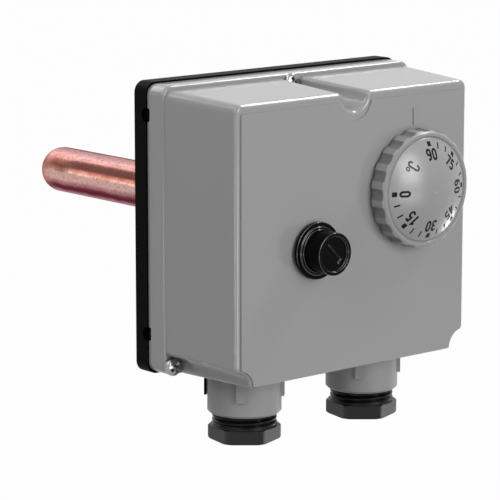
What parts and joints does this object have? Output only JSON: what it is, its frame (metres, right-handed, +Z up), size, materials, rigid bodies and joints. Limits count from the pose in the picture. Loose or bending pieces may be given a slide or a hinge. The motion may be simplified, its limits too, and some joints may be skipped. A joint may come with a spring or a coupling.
{
  "type": "immersion thermostat",
  "caption": "Box-shaped immersion thermostat with a control dial, a capped manual reset, cable glands below and a copper sensing pocket behind.",
  "frame": {"origin": "on the axis of the screwed nipple, at the face that seats on the tank boss", "axes": "+X to the right seen from the front, +Y along the sensing pocket into the tank, +Z up"},
  "size_m": [0.102, 0.1639, 0.1105],
  "materials": {
    "black_moulding": "fine-grained moulding",
    "grey_moulding": "satin fine-grained moulding",
    "dial_plastic": "satin, with black printed scale",
    "screw_steel": "zinc plated",
    "plain_steel": "zinc plated sheet and turned steel",
    "switch_plastic": "moulded phenolic",
    "brass": "machined",
    "copper": "drawn, satin",
    "button_plastic": "smooth",
    "cap_plastic": "smooth",
    "gland_plastic": "smooth",
    "seal_rubber": "smooth"
  },
  "bodies": {
    "housing": {"back_base": "black_moulding", "front_cover": "grey_moulding", "cable_socket_left": "grey_moulding", "cable_socket_right": "grey_moulding", "cover_screw_top": "screw_steel", "cover_screw_left": "screw_steel", "cover_screw_right": "screw_steel", "earth_screw": "screw_steel", "bracket_screw_1": "screw_steel", "bracket_screw_2": "screw_steel", "bracket_screw_3": "screw_steel", "bracket_screw_4": "screw_steel", "mounting_bracket": "plain_steel", "bulb_spring": "plain_steel", "control_capsule": "plain_steel", "limit_capsule": "plain_steel", "control_switch": "switch_plastic", "limit_switch": "switch_plastic", "spindle_bush": "brass", "reset_neck": "brass", "earth_clamp": "brass", "brass_nipple": "brass", "nipple_lock_nut": "brass", "copper_pocket": "copper", "control_bulb": "copper", "limit_bulb": "copper", "control_capillary": "copper", "limit_capillary": "copper", "gland_seal_left": "seal_rubber", "gland_seal_right": "seal_rubber"},
    "dial": {"control_knob": "dial_plastic", "control_spindle": "plain_steel"},
    "reset_plunger": {"reset_button": "button_plastic"},
    "cap_ring": {"cap_seal": "seal_rubber"},
    "cap": {"reset_cap": "cap_plastic"},
    "slip_washer_left": {"gland_washer_left": "gland_plastic"},
    "gland_left": {"gland_nut_left": "gland_plastic"},
    "slip_washer_right": {"gland_washer_right": "gland_plastic"},
    "gland_right": {"gland_nut_right": "gland_plastic"}
  },
  "joints": [
    {"name": "dial_turn", "type": "hinge", "parent": "housing", "child": "dial", "pos_m": [0.02417, -0.0545, 0.00963], "axis": [0, -1, 0], "range_deg": [0, 270]},
    {"name": "reset_press", "type": "slide", "parent": "housing", "child": "reset_plunger", "axis": [0, 1, 0], "range_m": [0, 0.0015], "stiffness_N_per_m": 300, "springref_m": -0.0005},
    {"name": "cap_lift", "type": "slide", "parent": "housing", "child": "cap_ring", "axis": [0, -1, 0], "range_m": [0, 0.005]},
    {"name": "cap_unscrew", "type": "hinge", "parent": "cap_ring", "child": "cap", "pos_m": [-0.01663, -0.0546, -0.005], "axis": [0, -1, 0], "range_deg": [0, 1801]},
    {"name": "washer_drop_left", "type": "slide", "parent": "housing", "child": "slip_washer_left", "axis": [0, 0, -1], "range_m": [0, 0.00602]},
    {"name": "gland_unscrew_left", "type": "hinge", "parent": "slip_washer_left", "child": "gland_left", "pos_m": [-0.02448, -0.0309, -0.0507], "axis": [0, 0, -1], "range_deg": [0, 1440]},
    {"name": "washer_drop_right", "type": "slide", "parent": "housing", "child": "slip_washer_right", "axis": [0, 0, -1], "range_m": [0, 0.00602]},
    {"name": "gland_unscrew_right", "type": "hinge", "parent": "slip_washer_right", "child": "gland_right", "pos_m": [0.02448, -0.0309, -0.0507], "axis": [0, 0, -1], "range_deg": [0, 1440]}
  ],
  "couplings": [
    {"joint": "cap_unscrew", "follows": "cap_lift", "rad_per_m": 6283.2},
    {"joint": "washer_drop_left", "follows": "gland_unscrew_left", "m_per_rad": 0.00023873},
    {"joint": "washer_drop_right", "follows": "gland_unscrew_right", "m_per_rad": 0.00023873}
  ]
}
